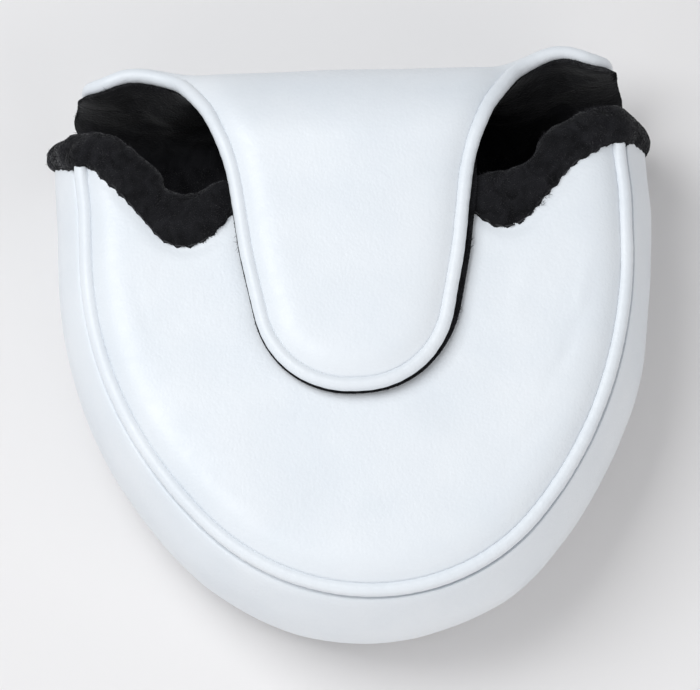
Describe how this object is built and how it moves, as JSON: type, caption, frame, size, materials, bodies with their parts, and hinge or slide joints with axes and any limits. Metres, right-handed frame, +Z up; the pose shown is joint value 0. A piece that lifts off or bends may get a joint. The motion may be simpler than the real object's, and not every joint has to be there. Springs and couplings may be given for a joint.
{
  "type": "putter head cover",
  "caption": "Padded leather cover for a mallet putter head, with a plush lining, piped seams, a gusset and a fold-over flap.",
  "frame": {"origin": "on the resting plane, at the centre line, where the straight sides of the cover meet its curved end", "axes": "+Z up, out of the front panel; +Y towards the mouth and the fold of the flap; +X to the right"},
  "size_m": [0.1402, 0.1351, 0.051],
  "materials": {
    "white_leather": "pebbled synthetic leather, soft sheen",
    "black_plush": "short deep pile, matte",
    "foam": "open-cell padding, matte",
    "white_cord": "braided filler cord, matte",
    "black_thread": "sewing thread, matte",
    "magnet_steel": "nickel-plated disc",
    "pouch_cloth": "thin woven cloth, matte"
  },
  "bodies": {
    "shell": {"front_panel_leather": "white_leather", "front_panel_foam": "foam", "front_panel_lining": "black_plush", "gusset_leather": "white_leather", "gusset_foam": "foam", "gusset_lining": "black_plush", "back_panel_leather": "white_leather", "back_panel_foam": "foam", "back_panel_lining": "black_plush", "front_piping_cover": "white_leather", "front_piping_cord": "white_cord", "back_piping_cover": "white_leather", "back_piping_cord": "white_cord", "mouth_thread": "black_thread", "body_magnet": "magnet_steel", "body_magnet_pouch": "pouch_cloth"},
    "fold": {"fold_leather": "white_leather", "fold_foam": "foam", "fold_lining": "black_plush", "fold_piping_cover_right": "white_leather", "fold_piping_cover_left": "white_leather", "fold_piping_cord_right": "white_cord", "fold_piping_cord_left": "white_cord"},
    "flap": {"flap_leather": "white_leather", "flap_foam": "foam", "flap_lining": "black_plush", "flap_piping_cover": "white_leather", "flap_piping_cord": "white_cord", "flap_magnet": "magnet_steel", "flap_magnet_pouch": "pouch_cloth"}
  },
  "joints": [
    {"name": "flap_fold_back", "type": "hinge", "parent": "shell", "child": "fold", "pos_m": [0, 0.04139, 0.00506], "axis": [-1, 0, 0], "range_deg": [0, 80]},
    {"name": "flap_fold_front", "type": "hinge", "parent": "fold", "child": "flap", "pos_m": [0, 0.04022, 0.04477], "axis": [-1, 0, 0], "range_deg": [0, 80]}
  ],
  "couplings": [
    {"joint": "flap_fold_front", "follows": "flap_fold_back", "ratio": 1}
  ]
}
